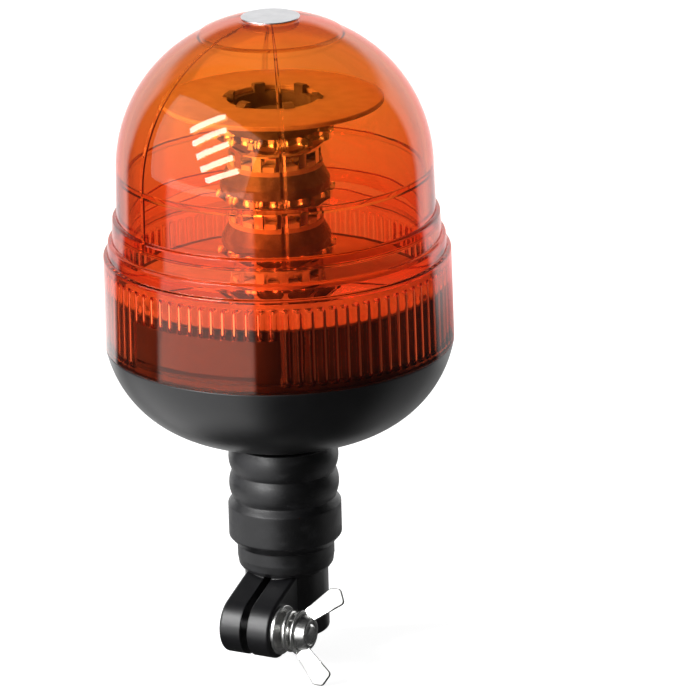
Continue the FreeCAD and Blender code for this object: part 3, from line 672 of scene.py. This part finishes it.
def place_piece(piece, body, slot, *stands_for):
    """Give a finished piece its finish and its body, and hide the solids it stands for."""
    piece.data.materials.clear()
    piece.data.materials.append(finishes[slot])
    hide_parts(*stands_for)
    if body:
        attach(piece, body)
    print(piece.name, "stands for", *stands_for)


weigh_normals(dome)
place_piece(dome, "head", "amber_lens", "dome_lens")

# %% [markdown]
# ## Black plastic
#
# Bowl and clamp are moulded in black nylon. The mould is spark-eroded, so the surface is not smooth:
# a fine grain breaks the reflection into a soft sheen. A cloudy change of colour and gloss stands for
# the way such plastic cools and for handling. The clamp's solid has sharp edges, and a Bevel node
# turns their normals as if they were slightly round.

# %% Finish of bowl and clamp
wires, place = new_finish("black_plastic")
grain, cloud = place.noise(0.4 * mm, 2.0), place.noise(14 * mm)
soft_edge = wires.node("Bevel", {"samples": 6}, {"Radius": 0.5 * mm})
end_finish("black_plastic", wires, Surface=principled(
    wires, Base_Color=cloud.tint((0.004, 0.004, 0.005), (0.010, 0.010, 0.011)),
    Roughness=0.22 + 0.16 * cloud + 0.08 * grain, Specular_IOR_Level=0.65,
    Normal=grain.bump(0.02 * mm, Normal=soft_edge)))

# %% [markdown]
# ## The bowl
#
# The bowl is a shell with a round corner, a cone down to the stalk and a collar that carries the
# deck and centres the dome. Its whole section is one closed line. The arcs of its side need many
# short steps, and its collar only a few long ones. Inside stand three posts for the driver board and
# three bosses for the deck: one of each is turned on the axis and copied to its places.

# %% Turn the bowl
corner, outer_corner, inner_corner = (22.69, 120.11), 41.99, 38.99
rim_start = arc(corner, outer_corner, -10.9, -11, 1)[0]
section = arc(corner, outer_corner, -11.2, -70, 26) + [
    (18.5, 73.9, 1.0), (8.1, 73.9, 0.3), (8.1, 76.9, 0.3), (17.97, 76.9, 0.6)]
section += arc(corner, inner_corner, -69, -15.7, 18) + [
    (54.0, 109.6, 0.3), (54.0, 132.1, 0.15), (56.0, 132.1, 0.15), (56.0, 134.6, 0.2),
    (58.5, 134.6, 0.4), (58.5, skirt_foot, 0.3), (64.0, skirt_foot, 0.35), rim_start]
bowl = turn("bowl_shell", rounded(section), 256)


# %% Posts and bosses
def copies(piece, count, reach):
    """Stand a piece that was made on the axis at even angles on a circle of radius reach."""
    for step in range(count):
        angle = math.tau * step / count
        activate(piece)
        bpy.ops.object.duplicate()
        bpy.ops.transform.translate(value=(reach * math.cos(angle), reach * math.sin(angle), 0.0))
        bpy.ops.object.transform_apply()
        yield bpy.context.object


def join(name, *parts):
    """Make the parts one piece."""
    deselect()
    for part in parts:
        part.select_set(True)
    bpy.context.view_layer.objects.active = parts[0]
    bpy.ops.object.join()
    parts[0].name = parts[0].data.name = name
    return parts[0]


post = turn("board_post", rounded([
    (0, 81.4), (3.6, 81.4), (3.6, 88.9, 0.4), (1.55, 88.9), (1.55, 83.4), (0, 83.4)]),
    32, closed=False)
boss = turn("deck_boss", rounded([
    (0, 109.6), (4.5, 109.6), (4.5, 132.1, 0.3), (1.55, 132.1), (1.55, 127.5), (0, 127.5)]),
    32, closed=False)
bowl = join("bowl_shell", bowl, *copies(post, 3, 34.0 * mm), *copies(boss, 3, 51.75 * mm))
bpy.data.objects.remove(post)
bpy.data.objects.remove(boss)
weigh_normals(bowl)
place_piece(bowl, "head", "black_plastic", "base_bowl")

# %% [markdown]
# ## Rubber boot
#
# The stalk's boot is soft black rubber, matt and a little dusty. The stalk bends at two crossed
# joints, and the boot is turned as a lower and an upper piece that meet on a ring's flank: the lower
# one reaches from the socket to the stalk's middle, the upper one from there to the head. Rows of
# points stand close together where the rubber bends.

# %% Finish of the boot
wires, place = new_finish("boot_rubber")
grain, bloom = place.noise(0.6 * mm), place.noise(9 * mm, 4.0, (1.0, 1.0, 2.0))
dusty = bloom.rise(0.45, 0.75)
end_finish("boot_rubber", wires, Surface=principled(
    wires, Base_Color=dusty.tint((0.005, 0.005, 0.006), (0.013, 0.013, 0.015)),
    Roughness=0.36 + 0.15 * dusty + 0.08 * grain, Specular_IOR_Level=0.55,
    Normal=grain.bump(0.03 * mm)))

# %% Section of the boot
meeting, meeting_angle = 55.5, -10.66
lower_ring, upper_ring = 57.525, 67.875


def ring_arc(level, start, end, count):
    """The round back of one of the boot's rings."""
    return arc((9.45, level), 10.95, start, end, count)


lower = rounded([
    (15.7, 24.8), (16.5, 24.8, 0.3), (17.55, 26.3, 1.5), (18.0, 29.3, 2.0), (18.0, 34.0, 0.8),
    (21.0, 37.4, 1.4), (21.0, 49.8, 1.1), (19.15, 52.2, 0.5)]
    + ring_arc(lower_ring, -24, meeting_angle, 6), 5)
lower += [(12.6, meeting), (12.6, 47.2), (15.7, 47.2), (15.7, 42.2), (16.7, 41.2), (16.7, 38.8),
          (15.7, 38.8)]
upper = rounded(ring_arc(lower_ring, meeting_angle, 25, 12) + [(19.1, 62.7, 0.5)]
                + ring_arc(upper_ring, -25, 25, 16)
                + [(19.15, 73.1, 0.4), (20.3, 73.6), (8.2, 73.6)], 5)
upper += [(8.2, 67.2), (14.7, 67.2), (14.7, 63.8), (12.6, 63.8), (12.6, meeting)]
print("boot profiles:", len(lower), "and", len(upper), "points")


# %% Turn the boot
def divided(points, longest):
    """The same line with its long runs divided."""
    line = [points[0]]
    for first, last in zip(points, points[1:]):
        count = max(1, math.ceil(math.dist(first, last) / longest))
        line += [(first[0] + (last[0] - first[0]) * step / count,
                  first[1] + (last[1] - first[1]) * step / count) for step in range(1, count + 1)]
    return line


boot_lower = turn("boot_lower", divided(lower, 1.2), 160)
boot_upper = turn("boot_upper", divided(upper, 1.2), 160)
place_piece(boot_lower, None, "boot_rubber", "rubber_boot")
place_piece(boot_upper, None, "boot_rubber", "rubber_boot")
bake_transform(boot_lower)
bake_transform(boot_upper)

# %% [markdown]
# ## Zinc plated steel
#
# Bolt, washers, clamp spring and wing nut are bright zinc. Metal shows mostly what is around it, so
# its finish needs little colour: small changes of gloss, faint rubbed streaks and a slightly uneven
# surface keep the reflections alive. Sharp edges are painted darker and duller, partly as wear and
# partly as painted shade on the sheet's thin edges. All that lies far from the bolt, the wings, is
# darker and rougher too.

# %% Finish of the clamp's steel
bolt_y, bolt_z = -25.0 * mm, 8.8 * mm
wires, place = new_finish("bright_steel")
cloud, rub = place.noise(5 * mm, 4.0), place.noise(1.5 * mm, 3.0, (1.0, 0.2, 1.0))
soft_edge = wires.node("Bevel", {"samples": 8}, {"Radius": 0.6 * mm})
# Sharp edges are painted darker and duller: partly wear, partly painted shade on the sheet's thin
# edges.
worn_and_shaded_edge = (1.0 - soft_edge.dot(wires.node("NewGeometry", output="Normal"))).rise(0.012, 0.10)
across = place.vector("SUBTRACT", (0.0, bolt_y, bolt_z)).vector("MULTIPLY", (0.0, 1.0, 1.0))
from_bolt = wires.node("VectorMath", {"operation": "LENGTH"}, {0: across}, output="Value")
# The wings, far from the bolt, are darker and rougher.
far_from_bolt = from_bolt.rise(9.2 * mm, 10.5 * mm)
shine = (0.5 + 0.5 * cloud) * (1.0 - 0.72 * far_from_bolt) * (1.0 - 0.9 * worn_and_shaded_edge)
end_finish("bright_steel", wires, Surface=principled(
    wires, Base_Color=shine.tint((0.03, 0.03, 0.03), (1.0, 1.0, 0.98)), Metallic=0.95 - 0.3 * worn_and_shaded_edge,
    Roughness=0.2 + 0.08 * rub + 0.2 * worn_and_shaded_edge + 0.16 * far_from_bolt,
    Normal=place.noise(3 * mm).bump(0.012 * mm)))

# %% [markdown]
# ## Bolt and washers
#
# A hexagon bolt passes through both ears of the clamp. Its shank and the washers are turned about
# the upright axis, as the other round pieces, and then laid along the bolt. The head is a cylinder
# of six sides with bevelled edges.

# %% Shank and head of the bolt
bolt_low, bolt_high = (corner[0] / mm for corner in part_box("clamp_bolt"))
length, head_height, across_flats = bolt_high - bolt_low, 5.3, 13.0
shank = turn("bolt_shank", rounded([
    (0.0, head_height - 0.2), (4.0, head_height - 0.2), (4.0, length - 1.0, 0.5),
    (2.9, length - 0.25, 0.3), (0.0, length)]), 64, closed=False)
deselect()
bpy.ops.mesh.primitive_cylinder_add(
    vertices=6, radius=across_flats / math.sqrt(3) * mm, depth=head_height * mm,
    location=(0.0, 0.0, head_height / 2 * mm))
hexagon = bpy.context.object
bpy.ops.object.transform_apply()
edge = hexagon.modifiers.new("edge", "BEVEL")
edge.width, edge.segments = 0.4 * mm, 3
bpy.ops.object.modifier_apply(modifier=edge.name)
bpy.ops.object.shade_smooth_by_angle(angle=math.radians(40))
print("hexagon", len(hexagon.data.polygons), "faces")


# %% Lay the bolt in its place
def lay_on_bolt(piece, start):
    """Lay a piece that was made about the upright axis along the clamp's bolt."""
    activate(piece)
    piece.rotation_euler = (0.0, math.pi / 2, 0.0)
    piece.location = (start * mm, bolt_y, bolt_z)
    bpy.ops.object.transform_apply()
    weigh_normals(piece)
    return piece


bolt = lay_on_bolt(join("hexagon_bolt", shank, hexagon), bolt_low)
place_piece(bolt, "socket", "bright_steel", "clamp_bolt")


# %% Washers on the bolt
def washer(name, radius, thickness, start):
    """A washer on the bolt. Its line starts and ends inside a face, so that each corner is round."""
    line = rounded([(6.0, 0.0), (radius, 0.0, 0.3), (radius, thickness, 0.35),
                    (4.05, thickness, 0.15), (4.05, 0.0, 0.15), (6.0, 0.0)])[:-1]
    return lay_on_bolt(turn(name, line, 96), start)


clamp_washer = washer("ear_washer", radius=9.25, thickness=1.4, start=10.3)
nut_washer = washer("spring_washer", radius=8.25, thickness=0.8, start=17.9)
place_piece(clamp_washer, "socket", "bright_steel", "clamp_washer")
place_piece(nut_washer, "nut_washer", "bright_steel", "nut_washer")

# %% [markdown]
# ## Clamp spring
#
# A short coil between two washers keeps the wing nut from working loose. A curve with a bevel would
# do, but a Screw modifier winds a circle of wire in one go and leaves clean rings of points. The coil
# changes its length as the nut travels.

# %% Wind the spring
wire, coil, turns_angle, rise_per_winding = 1.05 * mm, 6.7 * mm, math.radians(540), 3.9 * mm
deselect()
bpy.ops.mesh.primitive_circle_add(vertices=28, radius=wire, location=(0, 0, -coil),
                                  rotation=(math.pi / 2, 0, 0))
spring = bpy.context.object
spring.name = spring.data.name = "coil_spring"
bpy.ops.object.transform_apply()
winding = spring.modifiers.new("winding", "SCREW")
winding.axis, winding.angle, winding.screw_offset = "X", turns_angle, rise_per_winding
winding.steps = winding.render_steps = 168
winding.use_smooth_shade = True
bpy.ops.object.modifier_apply(modifier=winding.name)
print("spring", [round(v / mm, 2) for v in spring.dimensions])

# %% Close the spring's ends and place it
activate(spring)
bpy.ops.object.mode_set(mode="EDIT")
bpy.ops.mesh.select_all(action="SELECT")
bpy.ops.mesh.fill_holes(sides=0)
bpy.ops.mesh.select_all(action="SELECT")
bpy.ops.mesh.normals_make_consistent(inside=False)
bpy.ops.transform.translate(value=(11.8 * mm + wire, bolt_y, bolt_z))
bpy.ops.object.mode_set(mode="OBJECT")
bpy.ops.object.shade_smooth_by_angle(angle=math.radians(40))
place_piece(spring, None, "bright_steel", "clamp_spring")
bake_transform(spring)

# %% [markdown]
# ## Wing nut
#
# The nut is a small cone with two wings of sheet steel. One wing is drawn as an outline, extruded to
# the sheet's thickness and broken at its edges, and the other is its copy, turned half round.

# %% One wing and its copy
sheet_thickness = 1.3 * mm
upper_wing = draw_profile("upper_wing", rounded([
    (2.0, 4.9), (4.0, 4.9), (15.0, 13.1, 1.6), (12.4, 18.1, 1.6), (8.6, 18.1, 1.6), (0.0, 8.8),
    (0.0, 4.9)], 6), closed=True)
bpy.ops.mesh.select_all(action="SELECT")
bpy.ops.mesh.edge_face_add()
bpy.ops.transform.translate(value=(0.0, -sheet_thickness / 2, 0.0))
bpy.ops.mesh.extrude_region_move(TRANSFORM_OT_translate={"value": (0.0, sheet_thickness, 0.0)})
bpy.ops.mesh.select_all(action="SELECT")
bpy.ops.mesh.normals_make_consistent(inside=False)
bpy.ops.object.mode_set(mode="OBJECT")
edge = upper_wing.modifiers.new("edge", "BEVEL")
edge.width, edge.segments = 0.3 * mm, 3
edge.limit_method, edge.angle_limit = "ANGLE", math.radians(50)
bpy.ops.object.modifier_apply(modifier=edge.name)
bpy.ops.object.shade_smooth_by_angle(angle=math.radians(40))
activate(upper_wing)
bpy.ops.object.duplicate()
lower_wing = bpy.context.object
lower_wing.rotation_euler = (math.pi, 0.0, 0.0)
bpy.ops.object.transform_apply()
print("wing", len(upper_wing.data.polygons), "faces")

# %% Hub of the nut
wing_angle = math.radians(-27.4)
hub = turn("wing_nut_turned", rounded([
    (5.0, 0.0), (6.6, 0.0, 0.3), (5.7, 4.0, 0.6), (4.05, 4.0, 0.25), (4.05, 0.0), (5.0, 0.0)])[:-1], 72)
hub.rotation_euler = (0.0, math.pi / 2, 0.0)
bpy.ops.object.transform_apply()
nut = join("wing_nut_turned", hub, upper_wing, lower_wing)
nut.rotation_euler = (wing_angle, 0.0, 0.0)
nut.location = (18.7 * mm, bolt_y, bolt_z)
bpy.ops.object.transform_apply()
weigh_normals(nut)
place_piece(nut, "wing_nut", "bright_steel", "wing_nut")

# %% [markdown]
# ## Plain finishes of the inside
#
# Most inner pieces are plain plastic or metal. No batch of them is one even colour: it drifts from
# place to place, and its gloss drifts with it. One function makes such a finish from two colours and
# a gloss, and each piece's own look comes from its numbers.


# %% Drifting finishes
def drifting(name, dark, light, gloss, lump=6.0, depth=0.01, **more):
    """A finish that drifts between two colours in lumps of some millimetres, on a fine grain."""
    wires, place = new_finish(name)
    cloud, grain = place.noise(lump * mm, 4.0), place.noise(0.5 * mm, 2.0)
    end_finish(name, wires, Surface=principled(
        wires, Base_Color=cloud.rise(0.35, 0.65).tint(dark, light), Normal=grain.bump(depth * mm),
        Roughness=gloss + 0.14 * (cloud - 0.5) + 0.08 * (grain - 0.5), **more))


drifting("white_plastic", (0.54, 0.48, 0.44), (0.62, 0.56, 0.51), 0.36)
drifting("grey_plastic", (0.12, 0.12, 0.125), (0.18, 0.18, 0.18), 0.40)
drifting("dark_plastic", (0.10, 0.10, 0.10), (0.17, 0.165, 0.16), 0.26)
drifting("reflector_silver", (0.80, 0.79, 0.76), (0.92, 0.92, 0.90), 0.16, 9.0, 0.003, Metallic=1.0)
drifting("plain_steel", (0.50, 0.50, 0.50), (0.64, 0.63, 0.62), 0.32, Metallic=1.0)
drifting("contact_brass", (0.62, 0.42, 0.16), (0.80, 0.60, 0.28), 0.30, Metallic=1.0)
drifting("red_lead", (0.46, 0.024, 0.018), (0.60, 0.045, 0.03), 0.34, 2.0)
drifting("black_lead", (0.018, 0.018, 0.019), (0.034, 0.033, 0.034), 0.36, 2.0)

# %% [markdown]
# ## Board, lamps and foil
#
# The driver board has copper tracks under green lacquer, drawn by a brick pattern whose joints are
# the tracks. Each of the twelve lamps on a ring is a white case with a yellow spot: the angle round
# the tower is folded twelve times, so that one spot repeats. The foil is brushed round its middle,
# so its gloss changes with the distance from the axis.

# %% Finish of the board
wires, place = new_finish("board_green")
black, white = (0, 0, 0, 1), (1, 1, 1, 1)
track = wires.node("TexBrick", {"offset": 0.35}, {
    "Vector": place, "Scale": 60.0, "Color1": black, "Color2": black, "Mortar": white,
    "Mortar Size": 0.05})
cloud = place.noise(7 * mm)
copper = 0.75 * wires.node("RGBToBW", {}, {0: track}) + 0.3 * cloud
end_finish("board_green", wires, Surface=principled(
    wires, Base_Color=copper.tint((0.012, 0.085, 0.03), (0.05, 0.21, 0.08)),
    Roughness=0.24 + 0.15 * cloud))

# %% Finish of the lamps on a ring
lamps_on_ring, lamp_reach = 12, 15.4 * mm
wires, place = new_finish("led_yellow")
x, y = place.along("X"), place.along("Y")
reach = (x * x + y * y) ** 0.5
share = wires.math("ARCTAN2", y, x) * (lamps_on_ring / math.tau)
folded = wires.node("Math", {"operation": "WRAP"}, {0: share, 1: 0.5, 2: -0.5})
aside = folded * reach * (math.tau / lamps_on_ring)
from_lamp = (aside * aside + (reach - lamp_reach) ** 2.0) ** 0.5
spot = 1.0 - from_lamp.rise(1.0 * mm, 1.2 * mm)
end_finish("led_yellow", wires, Surface=principled(
    wires, Base_Color=spot.tint((0.78, 0.77, 0.72), (0.85, 0.62, 0.08)),
    Roughness=0.3 + 0.25 * place.noise(1.0 * mm)))

# %% Finish of the foil
wires, place = new_finish("silver_foil")
x, y = place.along("X"), place.along("Y")
rings = wires.node("CombineXYZ", {}, {0: (x * x + y * y) ** 0.5}).noise(0.25 * mm, 2.0)
cloud = place.noise(4 * mm, 4.0)
end_finish("silver_foil", wires, Surface=principled(
    wires, Base_Color=cloud.tint((0.58, 0.58, 0.60), (0.80, 0.80, 0.81)), Metallic=1.0,
    Roughness=0.24 + 0.2 * rings, Normal=(rings + cloud).bump(0.02 * mm)))

# %% [markdown]
# ## Disc and foil
#
# A wide disc tops the tower, and a round of foil lies on the dome's pad. Both are thin and lie where
# light grazes their edges, so they are turned with small rounds instead of the solids' sharp ones.

# %% Turn the disc and the foil
disc_hole, disc_edge, disc_low, disc_high = 16.6, 40.0, 203.0, 204.8
disc = turn("clipped_disc", rounded([
    (20.0, disc_low), (disc_edge, disc_low, 0.4), (disc_edge, disc_high, 0.5),
    (disc_hole, disc_high, 0.3), (disc_hole, disc_low, 0.3), (20.0, disc_low)])[:-1], 192)
weigh_normals(disc)
place_piece(disc, "head", "white_plastic", "tower_disc")
foil_edge = 10.7
foil_low, foil_high = (corner[2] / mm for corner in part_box("top_foil"))
foil = turn("foil_disc", rounded([
    (0.0, foil_low), (foil_edge, foil_low, 0.08), (foil_edge, foil_high, 0.2), (0.0, foil_high)]),
    128, closed=False)
weigh_normals(foil)
place_piece(foil, "head", "silver_foil", "top_foil")

# %% [markdown]
# ## Leads and contact spring
#
# Two leads run through the stalk and bend with it. The centre contact's spring shortens when a pole
# presses the pin. Their solids are copied, and the copies' loose triangles merged. The leads are cut
# into thin slices and parted into one piece for each joint that they cross: the live lead's foot is
# soldered to the contact's tag.


# %% Copy and cut a solid
def soft_copy(name, node):
    """A copy of a solid with a merged mesh of its own, in edit mode."""
    mesh = nodes[node].data.copy()
    mesh.transform(nodes[node].matrix_world)
    piece = bpy.data.objects.new(name, mesh)
    mesh.name = name
    bpy.context.collection.objects.link(piece)
    activate(piece)
    bpy.ops.object.mode_set(mode="EDIT")
    bpy.ops.mesh.customdata_custom_splitnormals_clear()
    bpy.ops.mesh.select_all(action="SELECT")
    bpy.ops.mesh.remove_doubles(threshold=joined)
    bpy.ops.mesh.normals_make_consistent(inside=False)
    return piece


def cut(height, **side):
    """Cut the piece in edit mode at a height in millimetres."""
    bpy.ops.mesh.select_all(action="SELECT")
    bpy.ops.mesh.bisect(plane_co=(0.0, 0.0, height * mm), plane_no=(0.0, 0.0, 1.0), **side)


def finish_copy(piece):
    """Leave edit mode and shade the copy smooth."""
    bpy.ops.object.mode_set(mode="OBJECT")
    bpy.ops.object.shade_smooth_by_angle(angle=math.radians(40))
    print(piece.name, len(piece.data.polygons), "faces")
    return piece


# %% Leads in pieces
# Each row: name, solid, finish, lowest and highest level, two bodies, start and end of the blend.
lead_pieces = [
    ("positive_lead_root", "positive_lead", "red_lead", 0.0, 55.0, "contact_pin", "socket", 51.8, 55.0),
    ("positive_lead_middle", "positive_lead", "red_lead", 55.0, 59.0, "socket", "stalk", 55.0, 59.0),
    ("positive_lead_top", "positive_lead", "red_lead", 59.0, 99.0, "stalk", "head", 59.0, 66.5),
    ("earth_lead_lower", "earth_lead", "black_lead", 0.0, meeting, "socket", "stalk", 45.5, meeting),
    ("earth_lead_upper", "earth_lead", "black_lead", meeting, 99.0, "stalk", "head", meeting, 66.5)]
slices = [step / 2 for step in range(98, 136)]
for name, node, slot, low, high, first, last, start, end in lead_pieces:
    piece = soft_copy(name, node)
    cut(low, clear_inner=True, use_fill=True)
    cut(high, clear_outer=True, use_fill=True)
    for height in slices:
        cut(height)
    place_piece(finish_copy(piece), None, slot, node)
    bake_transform(piece)

# %% Contact spring
pressed = finish_copy(soft_copy("pressed_spring", "contact_spring"))
place_piece(pressed, None, "plain_steel", "contact_spring")
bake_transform(pressed)

# %% [markdown]
# ## Solids that stay
#
# The clamp's socket, the tower and the electronics have the right shape already. Making them again
# would add nothing, so their solids stay as they are and only take the finish of their slot.

# %% Finish every solid that still shows
finished = 0
for subpart in frame["record"]["subparts"]:
    node = nodes[subpart["node"]]
    if not node.hide_render:
        node.data.materials.clear()
        node.data.materials.append(finishes[subpart["material_slot"]])
        finished += 1
print("solids with a finish:", finished)

# %% [markdown]
# ## Colour view
#
# The picture shows its colours with the Standard view transform.

# %% Finish
bpy.context.scene.view_settings.view_transform = "Standard"
